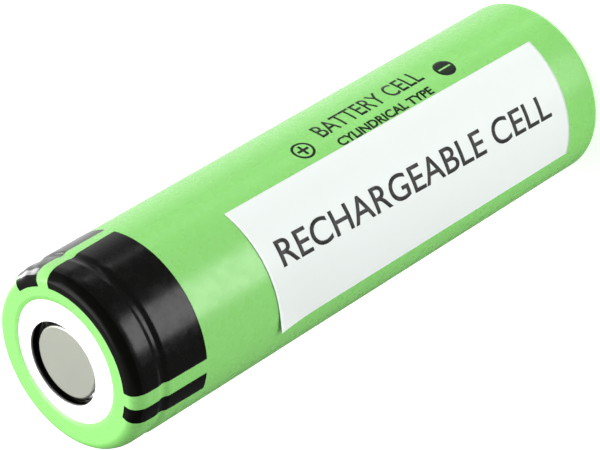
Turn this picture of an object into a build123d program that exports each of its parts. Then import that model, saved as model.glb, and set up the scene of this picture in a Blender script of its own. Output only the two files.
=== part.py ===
from build123d import *
from math import cos, radians, sin
import os

# A round lithium-ion cell of the 18 mm by 65 mm size, taken down to its separate pieces.
# Millimetres. +Z runs along the cell's axis from the negative end to the positive end.
# The origin is the centre of the negative end, on the surface that the cell stands on.
# The paper label is centred on -Y.

# ---- driving dimensions ---------------------------------------------------------------
CELL_HEIGHT = 65.2          # over the sleeve, end to end
CELL_RADIUS = 9.22          # over the sleeve, on the straight body
SLEEVE_WALL = 0.12          # shrunk PVC film
HEAD_STEP = 0.08            # the crimped head is this much smaller in radius than the body
CAN_WALL = 0.22             # deep-drawn nickel-plated steel
WASHER_THICK = 0.25         # white fibre washer under the sleeve's top hem
WASHER_HOLE = 4.23
WASHER_RADIUS = 7.45
WASHER_SLIP = 0.5           # the loose washer sits off centre under the hem
WASHER_SLIP_TOWARDS = 95.5  # degrees from +X
TOP_HEM = 6.22              # radius of the sleeve's opening at the positive end
BOTTOM_HEM = 6.9            # and at the negative end
BEAD_HEIGHT = 61.5          # middle of the rolled bead groove
BEAD_RADIUS = 7.85          # bottom of the groove, outside
LIP_RADIUS = 6.6            # inner edge of the crimped lip
SHOULDER_LEAN = 0.64        # the crimped shoulder leans in by this much
SHOULDER_RISE = 1.0         # over this height, before its bends are rounded
SHOULDER_BENDS = 2.35, 0.9  # sleeve's bends at the foot and at the top of the lean

CAP_FACE = 65.0             # height of the contact face
CAP_SHEET = 0.35
CAP_RISE = 0.87             # contact face above the flange
STACK_RADIUS = 8.0          # cap flange, PTC ring and vent disc share this radius
PTC_THICK = 0.30
VENT_SHEET = 0.30
CID_PLATE_RADIUS = 6.6
CID_PLATE_THICK = 0.40
CID_RING_RADIUS = 7.0

FOIL_CORE = 1.9             # radius of the hollow left by the winding mandrel
ANODE_THICK = 0.15
CATHODE_THICK = 0.17
SEPARATOR_THICK = 0.02
HALF_TURNS = 36             # half-turns of separator in the roll
ROLL_LOW, ROLL_HIGH = 0.7, 59.8
TAB_THICK = 0.08
TAB_WIDTH = 4.0
TAPE_THICK = 0.03
TAPE_WIDTH = 6.0

LABEL_THICK = 0.09
LABEL_WIDTH = 12.06         # straight across the chord
LABEL_LENGTH = 42.4
LABEL_MIDDLE = 25.94
LABEL_TILT = 0.4            # degrees off the cell's axis, as it was stuck on by hand

# ---- heights worked out from them -----------------------------------------------------
CAN_RADIUS = CELL_RADIUS - SLEEVE_WALL
HEAD_RADIUS = CAN_RADIUS - HEAD_STEP
HEAD_BORE = HEAD_RADIUS - CAN_WALL
WASHER_TOP = CELL_HEIGHT - SLEEVE_WALL
LIP_TOP = WASHER_TOP - WASHER_THICK
LIP_UNDER = LIP_TOP - CAN_WALL
FLANGE_TOP = CAP_FACE - CAP_RISE
FLANGE_UNDER = FLANGE_TOP - CAP_SHEET
PTC_UNDER = FLANGE_UNDER - PTC_THICK
VENT_UNDER = PTC_UNDER - VENT_SHEET
VENT_DISH = 0.98            # how far the vent disc's nub hangs below its rim
CID_PLATE_TOP = VENT_UNDER - VENT_DISH
CID_PLATE_UNDER = CID_PLATE_TOP - CID_PLATE_THICK
FLOOR_TOP = SLEEVE_WALL + CAN_WALL
PITCH = ANODE_THICK + CATHODE_THICK + 2 * SEPARATOR_THICK


# ---- shared ways of making a piece ----------------------------------------------------
def turned(*outline):
    """Solid of revolution about Z from a closed outline of (radius, height) corners."""
    return revolve(Plane.XZ * make_face(Polyline(*outline, close=True)), axis=Axis.Z)


def pressed(skin, bends, sheet, side):
    """Sheet of even thickness: one skin's (radius, height) path with rounded bends,
    thickened to one side and revolved about Z."""
    path = FilletPolyline(*skin, radius=bends)
    return revolve(Plane.XZ * make_face(offset(path, sheet, side=side)), axis=Axis.Z)


def ring(inner, outer, low, high):
    """Flat ring, or a tube, between two radii and two heights."""
    return Pos(0, 0, low) * extrude(Circle(outer) - Circle(inner), high - low)


def disc(radius, low, high):
    return Pos(0, 0, low) * extrude(Circle(radius), high - low)


def ring_of_holes(count, pitch_radius, hole_radius, low, high):
    hole = Pos(0, 0, low) * extrude(Circle(hole_radius), high - low)
    return [Rot(0, 0, 360 / count * i) * (Pos(pitch_radius, 0, 0) * hole) for i in range(count)]


# ---- outside --------------------------------------------------------------------------
def shrink_sleeve():
    """Heat-shrunk film. It bridges the bead groove with a shallow dip, and its hems turn
    in over the washer at the top and over the can's base at the bottom."""
    head = CELL_RADIUS - HEAD_STEP
    dip = CELL_RADIUS - 0.17
    skin = [
        (BOTTOM_HEM, 0),
        (CELL_RADIUS, 0),
        (CELL_RADIUS, BEAD_HEIGHT - 0.75),
        (dip, BEAD_HEIGHT - 0.2),
        (dip, BEAD_HEIGHT + 0.2),
        (head, BEAD_HEIGHT + 0.8),
        (head, CELL_HEIGHT - SHOULDER_RISE),
        (head - SHOULDER_LEAN, CELL_HEIGHT),
        (TOP_HEM, CELL_HEIGHT),
    ]
    return pressed(skin, [0.72, 0.6, 0.6, 0.6, 0.6, *SHOULDER_BENDS], SLEEVE_WALL, Side.LEFT)


def paper_label():
    """Stuck-on rectangle of paper, wrapped round the sleeve on the -Y side."""
    wrap = ring(CELL_RADIUS, CELL_RADIUS + LABEL_THICK, 0, CELL_HEIGHT)
    cutter = Pos(0, -CELL_RADIUS, LABEL_MIDDLE) * Rot(0, LABEL_TILT, 0) * Box(
        LABEL_WIDTH, CELL_RADIUS, LABEL_LENGTH
    )
    return wrap & cutter


def top_insulator_washer():
    slip = Rot(0, 0, WASHER_SLIP_TOWARDS) * Pos(WASHER_SLIP, 0, 0)
    return slip * ring(WASHER_HOLE, WASHER_RADIUS, LIP_TOP, WASHER_TOP)


def can():
    """Drawn cup with a rolled bead groove and a crimped lip. The middle of its base is
    pressed in slightly, so the contact face clears the sleeve's hem."""
    bead_half, bead_slope, step = 0.3, 0.35, 0.05
    lean, rise, lip_bend = 0.47, 0.73, 0.35
    skin = [
        (0, SLEEVE_WALL),
        (CAN_RADIUS, SLEEVE_WALL),
        (CAN_RADIUS, BEAD_HEIGHT - bead_half - bead_slope),
        (BEAD_RADIUS, BEAD_HEIGHT - bead_half),
        (BEAD_RADIUS, BEAD_HEIGHT + bead_half),
        (HEAD_RADIUS, BEAD_HEIGHT + bead_half + bead_slope),
        (HEAD_RADIUS, LIP_TOP - rise),
        (HEAD_RADIUS - lean, LIP_TOP),
        (LIP_RADIUS, LIP_TOP),
    ]
    lean_bend = SHOULDER_BENDS[0] - SLEEVE_WALL
    cup = pressed(skin, [0.6, 0.3, 0.3, 0.3, 0.3, lean_bend, lip_bend], CAN_WALL, Side.LEFT)
    return cup - disc(BOTTOM_HEM - 0.4, SLEEVE_WALL, SLEEVE_WALL + step)


# ---- head assembly, from the contact face down ----------------------------------------
def positive_cap():
    """Pressed contact button. Gas leaves through the windows in its riser."""
    face_edge, riser_foot, window_count, window_angle = 3.64, 3.9, 3, 72
    window_in, window_out = face_edge - CAP_SHEET, riser_foot + 0.55
    skin = [
        (0, CAP_FACE),
        (face_edge, CAP_FACE),
        (riser_foot, FLANGE_TOP),
        (STACK_RADIUS, FLANGE_TOP),
    ]
    button = pressed(skin, [0.2, 0.15], CAP_SHEET, Side.RIGHT)
    window = Plane.XZ * make_face(
        Polyline(
            (window_in, FLANGE_UNDER - 0.1),
            (window_out, FLANGE_UNDER - 0.1),
            (window_out, CAP_FACE - 0.2),
            (window_in, CAP_FACE - 0.2),
            close=True,
        )
    )
    for i in range(window_count):
        start = 360 / window_count * i + 30
        button -= Rot(0, 0, start) * revolve(window, axis=Axis.Z, revolution_arc=window_angle)
    return button


def ptc_ring():
    """Resettable over-current ring between the cap and the vent disc."""
    return ring(5.0, STACK_RADIUS, PTC_UNDER, FLANGE_UNDER)


def vent_disc():
    """Dished rupture disc. Its scored circle bursts at high pressure, and its nub is
    welded to the CID plate until rising pressure snaps it upwards."""
    nub, dish_edge, score = 1.2, 4.2, 3.4
    skin = [(0, CID_PLATE_TOP), (nub, CID_PLATE_TOP), (dish_edge, VENT_UNDER), (STACK_RADIUS, VENT_UNDER)]
    dished = pressed(skin, [0.5, 0.3], VENT_SHEET, Side.LEFT)
    score_floor = CID_PLATE_TOP + VENT_DISH * (score - nub) / (dish_edge - nub) + VENT_SHEET - 0.08
    return dished - ring(score, score + 0.15, score_floor, PTC_UNDER)


def cid_insulator():
    """Plastic ring that keeps the CID plate's rim off the vent disc."""
    inner, hook = 4.7, 0.1
    return turned(
        (inner, CID_PLATE_TOP),
        (CID_PLATE_RADIUS, CID_PLATE_TOP),
        (CID_PLATE_RADIUS, CID_PLATE_UNDER - hook),
        (CID_RING_RADIUS, CID_PLATE_UNDER - hook),
        (CID_RING_RADIUS, VENT_UNDER),
        (inner, VENT_UNDER),
    )


def cid_plate():
    """Current-interrupt plate with gas holes and a thinned middle, where the nub lets go."""
    plate = disc(CID_PLATE_RADIUS, CID_PLATE_UNDER, CID_PLATE_TOP)
    plate -= ring_of_holes(6, 4.0, 0.6, CID_PLATE_UNDER, CID_PLATE_TOP)
    return plate - ring(0.9, 1.5, CID_PLATE_TOP - 0.15, CID_PLATE_TOP)


def cap_gasket():
    """Moulded seal folded round the stack's rim, with a skirt down inside the bead."""
    skirt_radius, skirt_low, leg = 7.6, BEAD_HEIGHT - 0.2, 6.35
    return turned(
        (leg, FLANGE_TOP),
        (STACK_RADIUS, FLANGE_TOP),
        (STACK_RADIUS, VENT_UNDER),
        (CID_RING_RADIUS, VENT_UNDER),
        (CID_RING_RADIUS, skirt_low),
        (skirt_radius, skirt_low),
        (skirt_radius, BEAD_HEIGHT + 0.6),
        (HEAD_BORE, BEAD_HEIGHT + 0.95),
        (HEAD_BORE, LIP_UNDER - 1.18),
        (HEAD_BORE - 0.09, LIP_UNDER - 0.6),
        (HEAD_BORE - 0.28, LIP_UNDER - 0.24),
        (HEAD_BORE - 0.46, LIP_UNDER),
        (leg, LIP_UNDER),
    )


# ---- wound roll -----------------------------------------------------------------------
# The winding is made of half-turns with two centres, PITCH / 2 apart on X, so that each
# half-turn runs tangentially into the next and the radius grows by PITCH each full turn.
def half_turn_radius(k):
    return FOIL_CORE + k * PITCH / 2


def spiral_edges(first, last, out):
    """Half-turn arcs from first to last at a distance out from the winding's inner line."""
    return [
        CenterArc((k % 2 * PITCH / 2, 0), half_turn_radius(k) + out, k % 2 * 180, 180)
        for k in range(first, last + 1)
    ]


def wound_strip(first, last, inner, thick, low, high):
    inside = spiral_edges(first, last, inner)
    outside = spiral_edges(first, last, inner + thick)
    ends = [Line(inside[0] @ 0, outside[0] @ 0), Line(inside[-1] @ 1, outside[-1] @ 1)]
    return Pos(0, 0, low) * extrude(make_face(inside + outside + ends), high - low)


def strip_patch(half_turn, inner, outer, width, low, high):
    """Curved patch on the +Y side that follows one even half-turn of the winding."""
    radius = half_turn_radius(half_turn)
    patch = ring(radius + inner, radius + outer, low, high)
    return patch & Pos(0, radius, (low + high) / 2) * Box(width, radius, high - low)


ANODE_AT = 0
SEPARATOR_INNER_AT = ANODE_THICK
CATHODE_AT = SEPARATOR_INNER_AT + SEPARATOR_THICK
SEPARATOR_OUTER_AT = CATHODE_AT + CATHODE_THICK
POSITIVE_TAB_TURN = 18
NEGATIVE_TAB_TURN = HALF_TURNS
CATHODE_FACE = CATHODE_AT + CATHODE_THICK
TAB_IN = TAPE_THICK + TAB_THICK         # depth of the pocket that tab and tape fill
POSITIVE_TAB_LOW = 44.0
NEGATIVE_TAB_HIGH = 19.0
CATHODE_LOW, CATHODE_HIGH = 2.2, 58.6
ANODE_LOW, ANODE_HIGH = 1.7, 59.0


def cathode_strip():
    strip = wound_strip(2, HALF_TURNS - 2, CATHODE_AT, CATHODE_THICK, CATHODE_LOW, CATHODE_HIGH)
    return strip - strip_patch(
        POSITIVE_TAB_TURN, CATHODE_FACE - TAB_IN, CATHODE_FACE, TAPE_WIDTH, POSITIVE_TAB_LOW, ROLL_HIGH
    )


def anode_strip():
    strip = wound_strip(1, HALF_TURNS, ANODE_AT, ANODE_THICK, ANODE_LOW, ANODE_HIGH)
    return strip - strip_patch(
        NEGATIVE_TAB_TURN, ANODE_THICK - TAB_IN, ANODE_THICK, TAPE_WIDTH, 0, NEGATIVE_TAB_HIGH
    )


def separator(at):
    return wound_strip(0, HALF_TURNS - 1, at, SEPARATOR_THICK, ROLL_LOW, ROLL_HIGH)


def roll_tape(low, high):
    """Band of tape that keeps the finished roll from unwinding."""
    inner = half_turn_radius(HALF_TURNS - 1) + PITCH + PITCH / 2 + 0.01
    return ring(inner, inner + 0.05, low, high)


def positive_tab():
    """Aluminium tab: up out of the roll, over the insulator, folded back and welded to
    the CID plate's underside."""
    face = CATHODE_FACE - TAPE_THICK
    outer = half_turn_radius(POSITIVE_TAB_TURN) + face
    low_run, fold_at, end_at = 60.75, -3.6, 2.0
    upright = strip_patch(
        POSITIVE_TAB_TURN, face - TAB_THICK, face, TAB_WIDTH, POSITIVE_TAB_LOW, low_run + TAB_THICK
    )
    path = FilletPolyline(
        (outer + 1, low_run),
        (fold_at, low_run),
        (fold_at, CID_PLATE_UNDER),
        (end_at, CID_PLATE_UNDER),
        radius=0.5,
    )
    ribbon = extrude(Plane.YZ * make_face(offset(path, TAB_THICK, side=Side.RIGHT)), TAB_WIDTH / 2, both=True)
    return upright + (ribbon & disc(outer, low_run - 1, CID_PLATE_TOP))


def negative_tab():
    """Nickel tab: down from the anode's outer end and across the can's floor."""
    face = ANODE_THICK - TAPE_THICK
    outer = half_turn_radius(NEGATIVE_TAB_TURN) + face
    past_centre = 2.5
    upright = strip_patch(
        NEGATIVE_TAB_TURN, face - TAB_THICK, face, TAB_WIDTH, FLOOR_TOP, NEGATIVE_TAB_HIGH - 1
    )
    reach = outer + past_centre
    flat = Pos(0, reach / 2 - past_centre, FLOOR_TOP + TAB_THICK / 2) * Box(TAB_WIDTH, reach, TAB_THICK)
    return upright + (flat & disc(outer, FLOOR_TOP, FLOOR_TOP + TAB_THICK))


def tab_tape(half_turn, face, cover, wrap):
    """Insulating tape: over the tab's face inside the roll, and right round it where it
    leaves the strip. cover and wrap are (low, high) heights."""
    sheet = strip_patch(half_turn, face - TAPE_THICK, face, TAPE_WIDTH, *cover)
    loop = strip_patch(half_turn, face - TAB_IN - TAPE_THICK, face, TAPE_WIDTH, *wrap)
    tab = strip_patch(half_turn, face - TAB_IN, face - TAPE_THICK, TAB_WIDTH, *wrap)
    return sheet + (loop - tab)


def top_insulator_disc():
    """Disc on the roll with a centre hole and the slot that the positive tab comes through."""
    low, thick, slot_from, slot_to = ROLL_HIGH + 0.2, 0.3, 4.3, 5.7
    blank = disc(8.6, low, low + thick) - disc(1.5, low, low + thick)
    slot = Pos(0, (slot_from + slot_to) / 2, low + thick / 2) * Box(
        TAPE_WIDTH + 0.6, slot_to - slot_from, thick
    )
    return blank - slot


def bottom_insulator_disc():
    low = FLOOR_TOP + TAB_THICK
    return ring(1.5, 8.2, low, low + 0.2)


# ---- write one file per piece ---------------------------------------------------------
pieces = {
    "shrink_sleeve": shrink_sleeve(),
    "paper_label": paper_label(),
    "top_insulator_washer": top_insulator_washer(),
    "can": can(),
    "positive_cap": positive_cap(),
    "ptc_ring": ptc_ring(),
    "vent_disc": vent_disc(),
    "cid_insulator": cid_insulator(),
    "cid_plate": cid_plate(),
    "cap_gasket": cap_gasket(),
    "top_insulator_disc": top_insulator_disc(),
    "bottom_insulator_disc": bottom_insulator_disc(),
    "cathode_strip": cathode_strip(),
    "anode_strip": anode_strip(),
    "separator_inner": separator(SEPARATOR_INNER_AT),
    "separator_outer": separator(SEPARATOR_OUTER_AT),
    "roll_tape_upper": roll_tape(46.0, 57.0),
    "roll_tape_lower": roll_tape(4.0, 15.0),
    "positive_tab": positive_tab(),
    "positive_tab_tape": tab_tape(
        POSITIVE_TAB_TURN, CATHODE_FACE, (POSITIVE_TAB_LOW, CATHODE_HIGH + 0.2), (CATHODE_HIGH + 0.1, 60.2)
    ),
    "negative_tab": negative_tab(),
    "negative_tab_tape": tab_tape(
        NEGATIVE_TAB_TURN, ANODE_THICK, (ANODE_LOW - 0.2, NEGATIVE_TAB_HIGH), (ANODE_LOW - 0.7, ANODE_LOW - 0.1)
    ),
}

os.makedirs("parts", exist_ok=True)
for name, solid in pieces.items():
    export_step(solid, f"parts/{name}.step")
    print(name, "solids", len(solid.solids()), "volume", round(solid.volume, 3), "valid", solid.is_valid)
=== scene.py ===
# %% [markdown]
# # A round battery cell, one piece at a time
#
# The cell stands upright: +Z runs along its axis, from the negative end at z = 0 to the
# positive end. The CAD model gives every piece its place and its size. This script gives the
# pieces that show a finer surface, and gives every piece a material.

# %% Load the frame and note the CAD model's box
import math

import bmesh
import bpy
import numpy as np
from mathutils import Matrix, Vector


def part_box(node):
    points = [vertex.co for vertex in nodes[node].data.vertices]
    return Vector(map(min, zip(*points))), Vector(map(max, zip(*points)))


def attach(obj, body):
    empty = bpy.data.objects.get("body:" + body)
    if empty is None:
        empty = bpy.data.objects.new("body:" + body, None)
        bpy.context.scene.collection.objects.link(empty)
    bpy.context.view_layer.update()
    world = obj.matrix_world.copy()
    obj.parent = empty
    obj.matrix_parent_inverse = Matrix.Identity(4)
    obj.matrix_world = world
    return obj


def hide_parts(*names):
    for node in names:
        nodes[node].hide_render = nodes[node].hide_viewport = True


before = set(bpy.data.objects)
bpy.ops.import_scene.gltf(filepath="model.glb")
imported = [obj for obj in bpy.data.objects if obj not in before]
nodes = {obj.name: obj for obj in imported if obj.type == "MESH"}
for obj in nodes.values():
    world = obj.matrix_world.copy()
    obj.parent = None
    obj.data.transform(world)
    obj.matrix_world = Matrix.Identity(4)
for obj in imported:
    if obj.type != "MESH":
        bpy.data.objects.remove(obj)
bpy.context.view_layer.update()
print("CAD nodes:", len(nodes))

# %% [markdown]
# ## Sizes
#
# All lengths below are in millimetres and are turned into metres at the last step, when a mesh
# is made. The overall sizes are read from the CAD nodes, so nothing has to be fitted.

# %% Read the driving sizes from the CAD nodes
MM = 0.001


def node_box(name):
    """Lowest and highest corner of a CAD node, in millimetres."""
    low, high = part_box(name)
    return np.array(low) / MM, np.array(high) / MM


CELL_HEIGHT = node_box("shrink_sleeve")[1][2]
CELL_RADIUS = node_box("shrink_sleeve")[1][0]
CAN_RADIUS = node_box("can")[1][0]
WASHER_TOP = node_box("top_insulator_washer")[1][2]
SLEEVE_WALL = CELL_RADIUS - CAN_RADIUS
LABEL_THICK = -node_box("paper_label")[0][1] - CELL_RADIUS
print("height", round(CELL_HEIGHT, 2), "radius", round(CELL_RADIUS, 2))
print("sleeve wall", round(SLEEVE_WALL, 3), "label", round(LABEL_THICK, 3))

# %% [markdown]
# ## Camera
#
# The camera looks down at the positive end from the front right. It is rolled about its own
# line of sight, as if the cell lay on a table in front of it, so the positive end points to
# the lower left. A long lens keeps the far end nearly as wide as the near one.

# %% Place the camera
VIEW_AZIMUTH, VIEW_ELEVATION, VIEW_ROLL = 15.5, 37.28, -121.02
VIEW_DISTANCE, VIEW_HEIGHT, VIEW_SIDE = 299.53, 34.4, -0.21
SENSOR_WIDTH, FOCAL_LENGTH = 36.0, 187.7


def view_axes(azimuth, elevation, roll):
    """Right, up, back and unrolled right of a camera that looks along +Y at azimuth 0, then is
    raised to the elevation, then is rolled about its line of sight. Angles in degrees."""
    a, e, r = np.radians([azimuth, elevation, roll])
    back = np.array([np.sin(a) * np.cos(e), -np.cos(a) * np.cos(e), np.sin(e)])
    level = np.array([np.cos(a), np.sin(a), 0.0])
    rise = np.cross(back, level)
    right = level * np.cos(r) + rise * np.sin(r)
    up = rise * np.cos(r) - level * np.sin(r)
    return right, up, back, level


def place(obj, right, up, back, at):
    """Turn an object so that its own X, Y and Z are right, up and back, and put it at a point
    in mm."""
    pose = Matrix.Identity(4)
    for row in range(3):
        pose[row] = right[row], up[row], back[row], at[row] * MM
    obj.matrix_world = pose


right, up, back, level = view_axes(VIEW_AZIMUTH, VIEW_ELEVATION, VIEW_ROLL)
aim = np.array([0, 0, VIEW_HEIGHT]) + VIEW_SIDE * level
camera_data = bpy.data.cameras.new("camera")
camera_data.sensor_width = SENSOR_WIDTH
camera_data.lens = FOCAL_LENGTH
camera_data.clip_start, camera_data.clip_end = 0.01, 20.0
camera = bpy.data.objects.new("camera", camera_data)
bpy.context.scene.collection.objects.link(camera)
place(camera, right, up, back, aim + VIEW_DISTANCE * back)
bpy.context.scene.camera = camera
print("camera at", np.round(aim + VIEW_DISTANCE * back, 1), "mm")

# %% [markdown]
# ## Light and floor
#
# The light is a small product studio. The room behind the cell is white, above and below, and
# the room in front is dark, so the dark ink keeps deep blacks and every edge that is seen at a
# glancing angle turns pale. A world whose brightness depends only on direction gives that
# room without any walls. Three soft boxes do the rest: a tall one low in front draws the broad
# highlight along the sleeve, a thin one draws the second line beside it, and a big one
# overhead lights the positive end. A box behind, seen only in reflections, puts a bright glint
# on the creased film at the shoulder, and two soft fills lift the shaded sides. The floor takes
# no part in reflections and blocks no light, so the low boxes can shine past it. It lies a
# fiftieth of a millimetre below the cell, so that no two faces share a plane.


# %% The world: a white room behind, a dark room in front
def toward(azimuth, elevation):
    """Unit vector at an azimuth from +X and an elevation, in degrees."""
    a, e = np.radians([azimuth, elevation])
    return np.array([np.cos(a) * np.cos(e), np.sin(a) * np.cos(e), np.sin(e)])


BEHIND = toward(VIEW_AZIMUTH + 90, 0)
DARK_SIDE = toward(150.7, 0)
UPWARD = (0, 0, 1)
WHITE_ADDED, ROOM_GLOW = 0.85, 0.09


def facing(tree, direction, start, end):
    """Smooth 0 to 1 as a world direction turns towards a given one: its dot product with it,
    run from start to end."""
    where = tree.nodes.new("ShaderNodeTexCoord")
    dot = tree.nodes.new("ShaderNodeVectorMath")
    dot.operation = "DOT_PRODUCT"
    dot.inputs[1].default_value = direction
    ramp = tree.nodes.new("ShaderNodeMapRange")
    ramp.interpolation_type = "SMOOTHSTEP"
    ramp.inputs["From Min"].default_value, ramp.inputs["From Max"].default_value = start, end
    tree.links.new(where.outputs["Generated"], dot.inputs[0])
    tree.links.new(dot.outputs["Value"], ramp.inputs["Value"])
    return ramp.outputs["Result"]


def blend(tree, first, second, operation="MULTIPLY"):
    """One number from two, by a simple operation. A plain float or a socket will do for either."""
    step = tree.nodes.new("ShaderNodeMath")
    step.operation = operation
    for socket, value in zip(step.inputs, (first, second)):
        if isinstance(value, float):
            socket.default_value = value
        else:
            tree.links.new(value, socket)
    return step.outputs["Value"]


world = bpy.data.worlds.new("studio")
world.use_nodes = True
room = world.node_tree
white_wall = blend(room, facing(room, BEHIND, -0.15, 0.5), facing(room, -DARK_SIDE, -0.63, -0.43))
above = blend(room, facing(room, UPWARD, 0.0, 0.5), facing(room, -DARK_SIDE, -0.85, -0.5))
white_above = blend(room, facing(room, BEHIND, -0.5, 0.05), above)
bright = blend(room, white_wall, white_above, "MAXIMUM")
strength = blend(room, blend(room, bright, WHITE_ADDED), ROOM_GLOW, "ADD")
room.links.new(strength, room.nodes["Background"].inputs["Strength"])
room.nodes["Background"].inputs["Color"].default_value = (1, 1, 1, 1)
bpy.context.scene.world = world
bpy.context.scene.view_settings.view_transform = "Standard"
print("world strength from", ROOM_GLOW, "to", round(ROOM_GLOW + WHITE_ADDED, 2))


# %% The soft boxes
def soft_box(name, azimuth, elevation, distance, wide, tall, radiance):
    """Area light that faces the cell's middle from an azimuth and an elevation in degrees.
    Distance, width and height are in mm, and the height side runs with the cell's axis."""
    light = bpy.data.lights.new(name, "AREA")
    light.shape = "RECTANGLE"
    light.size, light.size_y = wide * MM, tall * MM
    light.energy = radiance * math.pi * wide * tall * MM * MM
    obj = bpy.data.objects.new(name, light)
    bpy.context.scene.collection.objects.link(obj)
    away = toward(azimuth, elevation)
    side = np.cross(UPWARD, away)
    side = side / np.linalg.norm(side)
    middle = np.array([0, 0, CELL_HEIGHT / 2])
    place(obj, side, np.cross(away, side), away, middle + distance * away)
    obj.visible_camera = False
    return obj


soft_box("low_front_box", -87, -27, 300, 200, 190, 4.7)
soft_box("thin_side_box", -2, -30, 320, 26, 300, 1.6)
soft_box("overhead_box", 45, 66, 420, 300, 300, 7.6)
soft_box("base_fill", -136, -57.8, 56, 20, 20, 2.0).visible_glossy = False
soft_box("right_fill", -40, -5, 400, 300, 300, 1.35).visible_glossy = False
soft_box("rim_box", 70, 0, 400, 320, 170, 4.3).visible_diffuse = False

# %% The floor: half its width and its gap below the cell, in metres
FLOOR_HALF = 2.5
FLOOR_GAP = 0.02 * MM
FLOOR_GREY, FLOOR_GLOW, FLOOR_ROUGHNESS = 0.5, 0.75, 0.9
floor_mesh = bpy.data.meshes.new("floor")
sheet = np.array([(-1, -1), (1, -1), (1, 1), (-1, 1)]) * FLOOR_HALF
floor_mesh.from_pydata([(x, y, -FLOOR_GAP) for x, y in sheet], [], [(0, 1, 2, 3)])
floor = bpy.data.objects.new("floor", floor_mesh)
bpy.context.scene.collection.objects.link(floor)
floor.visible_glossy = False
floor.visible_shadow = False
floor_look = bpy.data.materials.new("pale_floor")
floor_look.use_nodes = True
floor_shader = floor_look.node_tree.nodes["Principled BSDF"]
floor_shader.inputs["Base Color"].default_value = (FLOOR_GREY, FLOOR_GREY, FLOOR_GREY, 1)
floor_shader.inputs["Roughness"].default_value = FLOOR_ROUGHNESS
floor_shader.inputs["Emission Color"].default_value = (1, 1, 1, 1)
floor_shader.inputs["Emission Strength"].default_value = FLOOR_GLOW
floor_mesh.materials.append(floor_look)
print("floor", 2 * FLOOR_HALF, "m across")

# %% [markdown]
# ## Materials
#
# Real finishes are never one flat colour. Each material below starts from the same recipe: a
# slow noise drifts between two close colours, and a finer one changes the roughness a little
# and raises a faint relief. What differs from one finish to the next is the size of the grain,
# its direction and its strength: stretching it one way gives the lines of rolled metal.


# %% The shared recipe for a finish, with its relief's full depth in metres
ROUGH_SWING = 0.06
BUMP_DEPTH = 0.00002


def node(tree, kind, **values):
    """Add a shader node and set its inputs by name."""
    made = tree.nodes.new(kind)
    for key, value in values.items():
        made.inputs[key.replace("_", " ")].default_value = value
    return made


def finish(name, dark, light, rough, drift=160.0, grain=2500.0, relief=0.02,
           stretch=(1, 1, 1), metal=0.0, shine=0.5):
    """Principled material on Object coordinates. The colour drifts from dark to light with noise
    of scale drift per metre. The grain, stretched by three factors, swings the roughness round
    rough and moves the height by relief. shine is the specular level."""
    made = bpy.data.materials.new(name)
    made.use_nodes = True
    tree = made.node_tree
    shader = tree.nodes["Principled BSDF"]
    shader.inputs["Metallic"].default_value = metal
    shader.inputs["Specular IOR Level"].default_value = shine
    where = tree.nodes.new("ShaderNodeTexCoord")
    mapping = node(tree, "ShaderNodeMapping", Scale=stretch)
    slow = node(tree, "ShaderNodeTexNoise", Scale=drift, Detail=3.0)
    fine = node(tree, "ShaderNodeTexNoise", Scale=grain, Detail=4.0)
    mix = tree.nodes.new("ShaderNodeMix")
    mix.data_type = "RGBA"
    mix.inputs["A"].default_value = (*dark, 1)
    mix.inputs["B"].default_value = (*light, 1)
    swing = node(tree, "ShaderNodeMapRange", From_Min=0.3, From_Max=0.7,
                 To_Min=rough - ROUGH_SWING, To_Max=rough + ROUGH_SWING)
    bump = node(tree, "ShaderNodeBump", Strength=relief, Distance=BUMP_DEPTH)
    tree.links.new(where.outputs["Object"], mapping.inputs["Vector"])
    tree.links.new(where.outputs["Object"], slow.inputs["Vector"])
    tree.links.new(mapping.outputs["Vector"], fine.inputs["Vector"])
    tree.links.new(slow.outputs["Fac"], mix.inputs["Factor"])
    tree.links.new(mix.outputs["Result"], shader.inputs["Base Color"])
    tree.links.new(fine.outputs["Fac"], swing.inputs["Value"])
    tree.links.new(swing.outputs["Result"], shader.inputs["Roughness"])
    tree.links.new(fine.outputs["Fac"], bump.inputs["Height"])
    tree.links.new(bump.outputs["Normal"], shader.inputs["Normal"])
    return made


# %% Finishes that show from outside
METAL_GRAIN = {"grain": 3000, "relief": 0.3, "stretch": (1, 8, 1), "metal": 1.0}
INK_GRAIN = {"drift": 300, "grain": 1100, "relief": 0.3}
INK_DARK, INK_LIGHT = (0.002, 0.002, 0.0018), (0.004, 0.004, 0.0035)
green_film = finish("green_film", (0.236, 0.635, 0.150), (0.246, 0.655, 0.158), 0.28,
                    drift=120, grain=900, relief=0.02, shine=0.62)
black_ink = finish("black_ink", INK_DARK, INK_LIGHT, 0.25, shine=0.32, **INK_GRAIN)
rubbed_ink = finish("rubbed_ink", INK_DARK, INK_LIGHT, 0.25, shine=0.06, **INK_GRAIN)
creased_ink = finish("creased_ink", INK_DARK, INK_LIGHT, 0.16, shine=0.9, **INK_GRAIN)
sleeve_ink = finish("sleeve_ink", (0.003, 0.010, 0.003), (0.008, 0.020, 0.006), 0.35,
                    drift=900, grain=2500, relief=0.2)
label_paper = finish("label_paper", (0.765, 0.815, 0.785), (0.81, 0.855, 0.83), 0.42,
                     drift=60, grain=4200, relief=0.25)
label_ink = finish("label_ink", (0.012, 0.013, 0.012), (0.028, 0.030, 0.028), 0.5,
                   drift=700, grain=5000, relief=0.2)
white_fibre = finish("white_fibre", (0.90, 0.90, 0.89), (0.95, 0.95, 0.945), 0.7,
                     drift=500, grain=6000, relief=0.5)
nickel = finish("nickel", (0.60, 0.61, 0.52), (0.66, 0.67, 0.58), 0.34, drift=700, **METAL_GRAIN)
cap_nickel = finish("cap_nickel", (0.52, 0.54, 0.465), (0.56, 0.58, 0.50), 0.34,
                    drift=500, **METAL_GRAIN)
print("materials so far:", len(bpy.data.materials))


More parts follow.
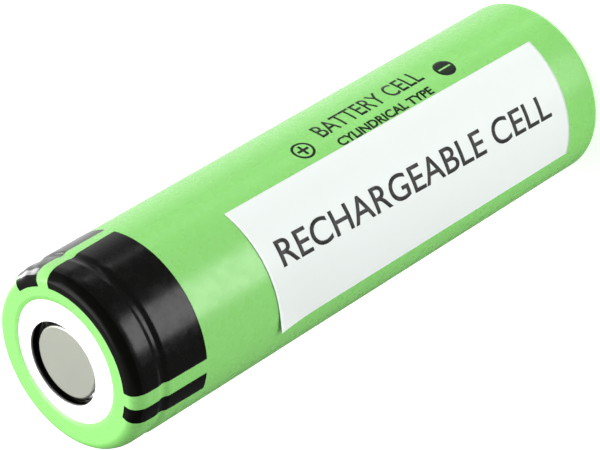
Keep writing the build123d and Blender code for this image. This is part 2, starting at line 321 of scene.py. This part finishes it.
# %% Painted shade: colours darkened below a height, in the gap round the positive cap
def height_ramp(tree, low, high, at_low, at_high):
    """Number that runs smoothly from one value to another between two heights in mm. The height
    is the Object coordinate Z."""
    where = tree.nodes.new("ShaderNodeTexCoord")
    split = tree.nodes.new("ShaderNodeSeparateXYZ")
    ramp = node(tree, "ShaderNodeMapRange", From_Min=low * MM, From_Max=high * MM,
                To_Min=at_low, To_Max=at_high)
    ramp.interpolation_type = "SMOOTHSTEP"
    tree.links.new(where.outputs["Object"], split.inputs["Vector"])
    tree.links.new(split.outputs["Z"], ramp.inputs["Value"])
    return ramp.outputs["Result"]


def shade_below(material, low, high, shade):
    """Multiply a finish's colour by shade below low, by 1 above high, and by a smooth ramp
    between them, where a gap keeps the light out."""
    tree = material.node_tree
    shader = tree.nodes["Principled BSDF"]
    mix = tree.nodes.new("ShaderNodeMix")
    mix.data_type, mix.blend_type = "RGBA", "MULTIPLY"
    mix.inputs["Factor"].default_value = 1.0
    tree.links.new(shader.inputs["Base Color"].links[0].from_socket, mix.inputs["A"])
    tree.links.new(height_ramp(tree, low, high, shade, 1.0), mix.inputs["B"])
    tree.links.new(mix.outputs["Result"], shader.inputs["Base Color"])


CAP_FACE = node_box("positive_cap")[1][2]
# Painted shade: the cap's side below its contact face and the washer's hole wall are darkened,
# because the gap round the cap lies in shade.
shade_below(cap_nickel, CAP_FACE - 0.5, CAP_FACE - 0.05, 0.3)
shade_below(white_fibre, WASHER_TOP - 0.2, WASHER_TOP - 0.02, 0.2)
print("contact face at", round(CAP_FACE, 2), "mm, washer face at", round(WASHER_TOP, 2), "mm")

# %% Finishes of the inner pieces
aluminium = finish("aluminium", (0.74, 0.75, 0.76), (0.82, 0.83, 0.84), 0.3,
                   grain=3500, relief=0.3, stretch=(6, 1, 1), metal=1.0)
nickel_strip = finish("nickel_strip", (0.56, 0.54, 0.49), (0.66, 0.64, 0.58), 0.25,
                      grain=4000, relief=0.3, stretch=(8, 1, 1), metal=1.0)
ptc_polymer = finish("ptc_polymer", (0.02, 0.02, 0.022), (0.045, 0.045, 0.05), 0.6,
                     drift=900, grain=5000, relief=0.4)
milky_plastic = finish("milky_plastic", (0.70, 0.72, 0.70), (0.80, 0.81, 0.79), 0.38,
                       drift=400, grain=2500, relief=0.15)
film_disc = finish("film_disc", (0.62, 0.65, 0.64), (0.74, 0.76, 0.75), 0.3,
                   drift=300, grain=3000, relief=0.15)
cathode_black = finish("cathode_black", (0.018, 0.018, 0.020), (0.038, 0.038, 0.042), 0.55,
                       drift=800, grain=9000, relief=0.5)
anode_black = finish("anode_black", (0.035, 0.033, 0.032), (0.07, 0.067, 0.065), 0.45,
                     drift=800, grain=9000, relief=0.5)
separator_white = finish("separator_white", (0.76, 0.77, 0.78), (0.86, 0.87, 0.87), 0.5,
                         drift=500, grain=6000, relief=0.3, stretch=(1, 1, 0.2))
green_tape = finish("green_tape", (0.16, 0.40, 0.14), (0.22, 0.50, 0.19), 0.25,
                    drift=300, grain=2500, relief=0.2)
amber_tape = finish("amber_tape", (0.62, 0.27, 0.03), (0.76, 0.38, 0.06), 0.2,
                    drift=300, grain=2500, relief=0.2)
NODE_FINISH = {
    "can": nickel, "positive_cap": cap_nickel, "ptc_ring": ptc_polymer, "vent_disc": aluminium,
    "cid_insulator": milky_plastic, "cid_plate": aluminium, "cap_gasket": milky_plastic,
    "top_insulator_disc": film_disc, "bottom_insulator_disc": film_disc,
    "cathode_strip": cathode_black, "anode_strip": anode_black,
    "separator_inner": separator_white, "separator_outer": separator_white,
    "roll_tape_upper": green_tape, "roll_tape_lower": green_tape,
    "positive_tab": aluminium, "positive_tab_tape": amber_tape,
    "negative_tab": nickel_strip, "negative_tab_tape": amber_tape,
    "top_insulator_washer": white_fibre, "paper_label": label_paper, "shrink_sleeve": green_film,
}
for name, look in NODE_FINISH.items():
    nodes[name].data.materials.clear()
    nodes[name].data.materials.append(look)
print("nodes with a finish:", len(NODE_FINISH))

# %% [markdown]
# ## From arrays to meshes
#
# Every new surface but the lettering is a grid of points worked out as whole arrays. Two ways
# of closing a grid are enough for this object: a ring, whose rows and columns both run round
# and meet again, and a slab, which is a front grid, a rear grid and the rim between them.


# %% Turn grids into closed meshes
def mesh_piece(name, points, faces, look, stands_for=None, smooth=True):
    """Make a mesh object from points in millimetres and faces, and let it ride on the cell.
    smooth is one flag, or one per face."""
    mesh = bpy.data.meshes.new(name)
    mesh.from_pydata((points * MM).tolist(), [], faces.tolist())
    mesh.polygons.foreach_set("use_smooth", np.broadcast_to(smooth, len(faces)).copy())
    mesh.materials.append(look)
    obj = bpy.data.objects.new(name, mesh)
    bpy.context.scene.collection.objects.link(obj)
    if stands_for:
        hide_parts(stands_for)
    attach(obj, "root")
    print(name, "faces", len(faces))
    return obj


def quads(index):
    """Faces of a grid of point numbers: each quad joins a point to the next one down its column,
    the one diagonally beyond, and the next one along its row."""
    a, b, c, d = index[:-1, :-1], index[1:, :-1], index[1:, 1:], index[:-1, 1:]
    return np.stack([a.ravel(), b.ravel(), c.ravel(), d.ravel()], axis=1)


def wrapped(index, axis):
    """Repeat the first row or column of a grid of point numbers at its end, so that it closes."""
    return np.concatenate([index, np.take(index, [0], axis=axis)], axis=axis)


def closed_ring(name, front, rear, look, stands_for=None):
    """Piece that closes both ways, such as a turned ring: rows of points down the front, then the
    rows of the rear back up. The two rims between them are flat, so both faces shade cleanly."""
    grid = np.concatenate([front, rear[::-1]])
    index = np.arange(grid.shape[0] * grid.shape[1]).reshape(grid.shape[:2])
    smooth = np.ones(index.shape, bool)
    smooth[[len(front) - 1, -1]] = False
    faces = quads(wrapped(wrapped(index, 0), 1))
    return mesh_piece(name, grid.reshape(-1, 3), faces, look, stands_for, smooth.ravel())


def slab(name, front, rear, look, stands_for=None):
    """Thin closed piece between a front grid and a rear grid of the same shape. Its rim is flat."""
    count = front.shape[0] * front.shape[1]
    face_index = np.arange(count).reshape(front.shape[:2])
    rear_index = face_index + count
    rim = [(face_index[0], rear_index[0]), (rear_index[-1], face_index[-1]),
           (rear_index[:, 0], face_index[:, 0]), (face_index[:, -1], rear_index[:, -1])]
    sides = np.concatenate([quads(face_index), quads(rear_index)[:, ::-1]])
    faces = np.concatenate([sides] + [quads(np.stack(pair)) for pair in rim])
    points = np.concatenate([front.reshape(-1, 3), rear.reshape(-1, 3)])
    return mesh_piece(name, points, faces, look, stands_for, np.arange(len(faces)) < len(sides))


# %% [markdown]
# ## The shrink sleeve
#
# The sleeve is PVC tube, shrunk on with hot air. It follows the can so closely that the bead
# groove and the crimped shoulder show through, but it can't reach the bottom of the groove: it
# bridges it with a shallow dip and a second small crease. Its ends turn in over the washer and
# over the can's base, with slightly uneven edges.
#
# The surface is a function of two parameters: the angle round the cell, and the distance along
# the outline from the axis at the positive end, out over the shoulder, down the body and in
# under the base. The film itself starts at its upper rim, a good way out from the axis.

# %% The sleeve's outline and its surface function
TOP_OPENING, BASE_OPENING = 6.225, 6.9
SHOULDER_DEPTH, SHOULDER_DROP = 1.12, 1.7
BASE_BEND = 0.72
GROOVE_HEIGHT = CELL_HEIGHT - 3.7
GROOVE_DIP, HEAD_STEP = 0.105, 0.08
HEM_TAPER, HEM_TAPER_LENGTH = 0.11, 0.45
BODY_WAVE = 0.012
SLOPE_STEP = 0.05
PLEATS = 14
CRUMPLE_AT, CRUMPLE_HALF_WIDTH, CRUMPLE_SIZE = 0.12, 0.18, 0.045
CRUMPLE_AROUND, CRUMPLE_ALONG = 29, 2.6


def outline(count):
    """Radius and height along the sleeve's plain outline: flat from the axis, a quarter of an
    ellipse over the shoulder, straight down, a quarter circle at the base, and flat to the axis.
    The third array is the distance along it. count points go on each round stretch."""
    turn = np.linspace(0, np.pi / 2, count)
    shoulder_r = CELL_RADIUS - SHOULDER_DEPTH + SHOULDER_DEPTH * np.sin(turn)
    shoulder_z = CELL_HEIGHT - SHOULDER_DROP + SHOULDER_DROP * np.cos(turn)
    base_r = CELL_RADIUS - BASE_BEND + BASE_BEND * np.cos(turn)
    base_z = BASE_BEND - BASE_BEND * np.sin(turn)
    r = np.concatenate([[0], shoulder_r, base_r, [0]])
    z = np.concatenate([[CELL_HEIGHT], shoulder_z, base_z, [0]])
    along = np.concatenate([[0], np.cumsum(np.hypot(np.diff(r), np.diff(z)))])
    return r, z, along


OUTLINE_R, OUTLINE_Z, OUTLINE_S = outline(count=40)
SLEEVE_LENGTH = OUTLINE_S[-1] - BASE_OPENING


def step_up(x, low, high):
    """Smooth step: 0 below low, 1 above high, with no corner at either end."""
    t = np.clip((x - low) / (high - low), 0, 1)
    return t * t * (3 - 2 * t)


def ripple(angle, height, seed, waves=5):
    """Slow random-looking waves between -1 and 1: the mean of a few sines, each running a whole
    number of times round the cell and slowly along it."""
    draw = np.random.default_rng(seed)
    total = 0
    for _ in range(waves):
        around = draw.integers(2, 9)
        along = draw.uniform(0.05, 0.35)
        phase = draw.uniform(0, 2 * np.pi)
        total = total + np.sin(around * angle + along * height + phase)
    return total / waves


def bell(angle, middle, half_width):
    """Bell curve round the cell: 1 at the middle angle, exp(-1) at a half width from it. The
    difference of the angles is taken the short way round."""
    away = (angle - middle + np.pi) % (2 * np.pi) - np.pi
    return np.exp(-(away / half_width) ** 2)


def tuck(height, angle):
    """How far the film is drawn in at a height: nothing on the body, a quick slope down into the
    groove, and a slower, shallower one back out to the head, which stays a little smaller than
    the body. The groove is deeper in some places round the cell."""
    swing = 1 + 0.18 * np.sin(3 * angle + 0.6) + 0.10 * np.sin(7 * angle)
    start = GROOVE_HEIGHT + 0.10 * np.sin(2 * angle + 0.5)
    fall = step_up(height, start - 0.55, start + 0.2)
    rise = step_up(height, start + 0.35, start + 0.95)
    return HEAD_STEP * fall + GROOVE_DIP * swing * (fall - rise)


def pleats(height, angle):
    """Small waves on the head, where the film had to shrink most: bell curves in or out at random
    angles, and one crumpled patch, which is a short slanting sine under a bell curve. All of it
    is faded in above the groove."""
    draw = np.random.default_rng(21)
    total = 0
    for _ in range(PLEATS):
        where = draw.uniform(-np.pi, np.pi)
        half_width = draw.uniform(0.06, 0.16)
        size = draw.uniform(-0.03, 0.035)
        total = total + size * bell(angle, where, half_width)
    slant = np.sin(CRUMPLE_AROUND * angle + CRUMPLE_ALONG * height)
    crumple = CRUMPLE_SIZE * slant * bell(angle, CRUMPLE_AT, CRUMPLE_HALF_WIDTH)
    return (total + crumple) * step_up(height, GROOVE_HEIGHT + 0.1, GROOVE_HEIGHT + 0.9)


def top_rim(angle):
    """Distance of the sleeve's upper rim from the axis: the opening, set off to one side by a
    sine once round, plus two smaller waves."""
    return (TOP_OPENING + 0.136 * np.sin(angle + np.radians(74.5)) + 0.05 * np.sin(2 * angle + 1.1)
            + 0.02 * np.sin(5 * angle))


def outline_at(along):
    """Radius and height of the plain outline at a distance along it."""
    return np.interp(along, OUTLINE_S, OUTLINE_R), np.interp(along, OUTLINE_S, OUTLINE_Z)


def sleeve_surface(angle, along, lift=0.0):
    """Points of the sleeve's outer face at an angle (radians) and a distance along the outline
    (mm from the axis at the positive end), raised by lift. The plain outline is pushed along its
    own normal by slow waves on the body, by pleats on the head and down on the washer at the rim.
    Then it is drawn in over the groove and turned about Z."""
    angle, along = np.broadcast_arrays(angle, along)
    r, z = outline_at(along)
    after_r, after_z = outline_at(along + SLOPE_STEP)
    before_r, before_z = outline_at(along - SLOPE_STEP)
    slope_r, slope_z = after_r - before_r, after_z - before_z
    size = np.hypot(slope_r, slope_z)
    out_r, out_z = -slope_z / size, slope_r / size
    off_base = step_up(z, 1.0, 4.0)
    off_head = step_up(-z, 1.0 - CELL_HEIGHT, -CELL_HEIGHT + 4.0)
    body = off_base * off_head * step_up(r, 8.5, 9.1)
    wave = BODY_WAVE * ripple(angle, z, 4) * body + pleats(z, angle) * step_up(r, 8.4, 9.1)
    hem = 1 - step_up(along - top_rim(angle), 0, HEM_TAPER_LENGTH)
    push = lift + wave - HEM_TAPER * hem
    radius = r + out_r * push - tuck(z, angle) * r / CELL_RADIUS
    return np.stack([radius * np.cos(angle), radius * np.sin(angle), z + out_z * push], axis=-1)


print("outline, axis to lower rim:", round(SLEEVE_LENGTH, 2), "mm")

# %% [markdown]
# The sleeve has a wall, so its grid goes along the outer face, round the bottom rim, back up the
# inner face and round the top rim. The rims wander a little, because the film shrinks
# unevenly.

# %% Build the sleeve
ROUND_STEPS = 384
INNER_SKIP = 3
turns = np.linspace(0, 2 * np.pi, ROUND_STEPS, endpoint=False)


def along_at_height(height):
    """Distance along the plain outline at which it passes a height in mm."""
    return np.interp(height, OUTLINE_Z[::-1], OUTLINE_S[::-1])


def sleeve_stations():
    """Distances along the outline: close together on the shoulder, the groove and the base bend,
    wide apart on the straight body. Each stretch is (from, to, steps)."""
    shoulder = along_at_height(CELL_HEIGHT - SHOULDER_DROP)
    below_groove = shoulder + 5.4
    base = SLEEVE_LENGTH - (CELL_RADIUS - BASE_OPENING) - 1.4
    stretches = [(TOP_OPENING, shoulder + 0.2, 44), (shoulder + 0.2, below_groove, 64),
                 (below_groove, base, 44), (base, SLEEVE_LENGTH, 34)]
    parts = [np.linspace(start, end, steps, endpoint=False) for start, end, steps in stretches]
    return np.concatenate(parts + [[SLEEVE_LENGTH]])


stations = sleeve_stations()
top_wander = top_rim(turns) - TOP_OPENING
base_wander = 0.09 * np.sin(turns + 2.0) + 0.05 * np.sin(3 * turns) + 0.02 * np.sin(8 * turns)
near_top = step_up(-stations, -TOP_OPENING - 2.0, -TOP_OPENING)
near_base = step_up(stations, SLEEVE_LENGTH - 1.5, SLEEVE_LENGTH)
shifted = stations[:, None] + near_top[:, None] * top_wander - near_base[:, None] * base_wander
outer = sleeve_surface(turns, shifted)
inner = sleeve_surface(turns, shifted[::INNER_SKIP], -SLEEVE_WALL)
closed_ring("sleeve_film", outer, inner, green_film, "shrink_sleeve")

# %% [markdown]
# ## The black print
#
# Three blocks of black are printed round the positive end, from the face over the shoulder to
# below the groove. Ink is a film on a film: each block is a slab that follows the sleeve's own
# function, a hundredth of a millimetre proud, so every dip in the sleeve shows in the black. On
# the end face the ink is rubbed dull, so the faces there get a second material.


# %% Print the three blocks
INK_LIFT, INK_SINK = 0.012, -0.004
PRINT_START = 7.66
PRINT_END = along_at_height(CELL_HEIGHT - 8.82)
PRINT_ROWS = 150


def rub_dull(piece, height):
    """Give the faces above a height in mm the rubbed ink, which has lost its shine."""
    mesh = piece.data
    mesh.materials.append(rubbed_ink)
    centres = np.empty(3 * len(mesh.polygons))
    mesh.polygons.foreach_get("center", centres)
    mesh.polygons.foreach_set("material_index", (centres[2::3] > height * MM).astype(np.int32))


def print_block(name, left, right, spread, skew=0.0, ink=black_ink, rubbed=0.9):
    """Block between two angles in degrees, which its sides leave by spread degrees towards the
    far end, while skew slants it. Its ends bow by a hair and its corners are slightly round. The
    ink is dull within rubbed mm of the cell's end."""
    across = np.linspace(-1, 1, max(24, int((right - left) * 1.6)))
    down = np.linspace(0, 1, PRINT_ROWS)[:, None]
    half_width = (right - left) / 2 + spread * down
    angle = (left + right) / 2 + skew * (down - 0.5) + half_width * across
    rounding = 0.05 * np.clip((np.abs(across) - 0.98) / 0.02, 0, 1) ** 2
    start = PRINT_START + 0.05 * np.sin(np.radians(angle[0]) * 2 + 1.2) + rounding
    end = PRINT_END + 0.02 * np.sin(np.radians(angle[-1]) * 5) - rounding
    along = start + (end - start) * down
    front = sleeve_surface(np.radians(angle), along, INK_LIFT)
    rear = sleeve_surface(np.radians(angle), along, INK_SINK)
    rub_dull(slab(name, front, rear, ink), CELL_HEIGHT - rubbed)


print_block("print_wide", -115.2, -16.6, 1.6)
print_block("print_narrow", -137.3, -126.4, 0.8, skew=-2.0)
print_block("print_side", -6.1, 17.0, 0.6, ink=creased_ink, rubbed=0.28)

# %% [markdown]
# ## The paper label
#
# The label is a strip of coated paper, cut a little out of square and stuck on by hand. Its
# surface is laid over the sleeve between four corners. One corner has not stuck down, so it
# stands a few tenths of a millimetre off.

# %% Lay the label
LABEL_WIDE, LABEL_LONG = 13, 42
CURL, CURL_ACROSS, CURL_DOWN = 0.30, 3.0, 5.0
LOOSE_EDGE, LOOSE_EDGE_WIDE = 0.03, 1.2
PAPER_WAVE = 0.004
GLUE = 0.012
CORNERS = {  # (angle in degrees, height in mm)
    "upper near": (-47.6, 47.5), "lower near": (-129.8, 46.8),
    "upper far": (-51.0, 4.57), "lower far": (-131.0, 4.87),
}


def label_surface(across, down, lift):
    """Points of the label: across runs from its lower long side to its upper one, down from the
    near short side to the far one, both 0 to 1. Angle and height are blended between the four
    corners. The unstuck corner curls up with the square of its nearness, and so does the lower
    long side, by a tenth as much."""
    across, down = np.broadcast_arrays(across, down)

    def blended(k):
        near = CORNERS["lower near"][k] * (1 - across) + CORNERS["upper near"][k] * across
        far = CORNERS["lower far"][k] * (1 - across) + CORNERS["upper far"][k] * across
        return near * (1 - down) + far * down

    angle, height = np.radians(blended(0)), blended(1)
    from_corner = across * LABEL_WIDE / CURL_ACROSS + down * LABEL_LONG / CURL_DOWN
    curl = CURL * np.clip(1 - from_corner, 0, 1) ** 2
    edge = LOOSE_EDGE * np.clip(1 - across * LABEL_WIDE / LOOSE_EDGE_WIDE, 0, 1) ** 2
    radius = CELL_RADIUS + lift + curl + edge + PAPER_WAVE * ripple(angle, height, 9)
    return np.stack([radius * np.cos(angle), radius * np.sin(angle), height], axis=-1)


across = np.linspace(0, 1, 90)
down = np.linspace(0, 1, 150)[:, None]
paper_front = label_surface(across, down, LABEL_THICK)
paper_rear = label_surface(across, down, GLUE)
slab("label_sheet", paper_front, paper_rear, label_paper, "paper_label")

# %% [markdown]
# ## Lettering
#
# Blender's own font gives the letters as flat outlines with a hair of depth. The outline is made
# a mesh, cut into narrow strips across the direction that has to bend, and then every point is
# carried onto the cylinder: x runs down the cell's axis, y runs round it, and depth is radial.


# %% Wrap flat lettering round the cell
LETTER_DEPTH, LETTER_LIFT = 0.004, 0.006
STRIP = 0.25
MERGE = 1e-4


def flat_text(words, height, length, weight):
    """Mesh points and faces of a line of capitals: cap height and total length in mm. weight
    thickens the strokes. The line starts at x = 0 and stands on y = 0."""
    curve = bpy.data.curves.new("line_of_text", "FONT")
    curve.body = words
    curve.extrude = LETTER_DEPTH
    curve.offset = weight
    curve.resolution_u = 5
    holder = bpy.data.objects.new("line_of_text", curve)
    bpy.context.scene.collection.objects.link(holder)
    bpy.context.view_layer.update()
    evaluated = holder.evaluated_get(bpy.context.evaluated_depsgraph_get())
    mesh = bpy.data.meshes.new_from_object(evaluated)
    bpy.data.objects.remove(holder)
    work = bmesh.new()
    work.from_mesh(mesh)
    points = np.array([v.co for v in work.verts])
    low, high = points.min(0), points.max(0)
    scale_x, scale_y = length / (high[0] - low[0]), height / (high[1] - low[1])
    for vert in work.verts:
        vert.co.x = (vert.co.x - low[0]) * scale_x
        vert.co.y = (vert.co.y - low[1]) * scale_y
    for cut in np.arange(STRIP, height, STRIP):
        every = work.verts[:] + work.edges[:] + work.faces[:]
        bmesh.ops.bisect_plane(work, geom=every, plane_co=(0, cut, 0), plane_no=(0, 1, 0))
    bmesh.ops.remove_doubles(work, verts=work.verts, dist=MERGE)
    bmesh.ops.triangulate(work, faces=work.faces[:])
    work.verts.index_update()
    points = np.array([v.co for v in work.verts])
    faces = np.array([[v.index for v in f.verts] for f in work.faces])
    work.free()
    return points, faces


def on_cell(points, angle, height, ground, twist=0.0):
    """Carry flat points onto the cell: x runs towards the negative end from a height, y runs
    round from an angle in degrees, and depth lifts off the ground radius. twist slants the line."""
    turn = np.radians(angle + twist * points[:, 0]) + points[:, 1] / ground
    radius = ground + LETTER_LIFT + points[:, 2]
    return np.stack([radius * np.cos(turn), radius * np.sin(turn), height - points[:, 0]], axis=1)


def lettering(name, words, angle, height, size, length, ground, look, weight=0.0, twist=0.0):
    """Piece with a line of capitals that starts at an angle in degrees and a height in mm: the
    flat text carried onto the ground radius."""
    points, faces = flat_text(words, size, length, weight)
    return mesh_piece(name, on_cell(points, angle, height, ground, twist), faces, look)


label_ground = CELL_RADIUS + LABEL_THICK
lettering("label_words", "RECHARGEABLE CELL", -92.2, 45.2, 2.65, 38.2, label_ground,
          label_ink, weight=0.008, twist=-0.18)
lettering("sleeve_words", "BATTERY CELL", -36.5, 32.2, 2.05, 14.6, CELL_RADIUS,
          sleeve_ink, weight=0.008)
lettering("sleeve_small_words", "CYLINDRICAL TYPE", -48.6, 31.6, 1.05, 13.3, CELL_RADIUS,
          sleeve_ink, weight=0.03)

# %% [markdown]
# ## Plus and minus marks
#
# The plus is an open circle with a cross in it. The minus is a solid disc with a bar left
# green. Both are flat shapes made from arrays and wrapped like the letters.


# %% Draw the marks
INK_FILM = 0.012
RING_STEPS, RING_ROWS, BAR_STEPS = 64, 6, 9


def marked(flat_x, flat_y, depth, centre_angle, centre_height):
    """Grid of points on the sleeve, from a flat grid of x and y round a centre, at one depth."""
    flat_x, flat_y = np.broadcast_arrays(flat_x, flat_y)
    flat = np.stack([flat_x, flat_y, np.full(flat_x.shape, depth)], axis=-1)
    points = on_cell(flat.reshape(-1, 3), centre_angle, centre_height, CELL_RADIUS)
    return points.reshape(flat.shape)


def flat_ring(name, centre_angle, centre_height, inner_radius, outer_radius, look, slot):
    """Annulus or disc on the sleeve: rows of points go out across it, columns go round it."""
    turn = np.linspace(0, 2 * np.pi, RING_STEPS, endpoint=False)
    radius = np.linspace(inner_radius, outer_radius, RING_ROWS)[:, None]
    front, rear = [marked(radius * np.cos(turn), radius * np.sin(turn), depth,
                          centre_angle, centre_height) for depth in (0.0, -INK_FILM)]
    return closed_ring(name, front, rear, look)


def flat_bar(name, centre_angle, centre_height, long_x, long_y, lift, look, slot):
    """Straight bar on the sleeve, raised by lift, so that crossing bars don't share a plane."""
    x = np.linspace(-long_x / 2, long_x / 2, BAR_STEPS)[:, None]
    y = np.linspace(-long_y / 2, long_y / 2, BAR_STEPS)
    front, rear = [marked(x, y, depth, centre_angle, centre_height)
                   for depth in (lift, lift - INK_FILM)]
    return slab(name, front, rear, look)


PLUS_AT, MINUS_AT = (-36.7, 35.1), (-36.4, 14.8)
flat_ring("plus_circle", *PLUS_AT, 0.93, 1.2, sleeve_ink, "black_ink")
flat_bar("plus_bar_long", *PLUS_AT, 1.4, 0.31, 0.0, sleeve_ink, "black_ink")
flat_bar("plus_bar_cross", *PLUS_AT, 0.31, 1.4, 0.001, sleeve_ink, "black_ink")
flat_ring("minus_disc", *MINUS_AT, 0.001, 1.17, sleeve_ink, "black_ink")
flat_bar("minus_bar", *MINUS_AT, 1.7, 0.2, 0.008, green_film, "green_film")
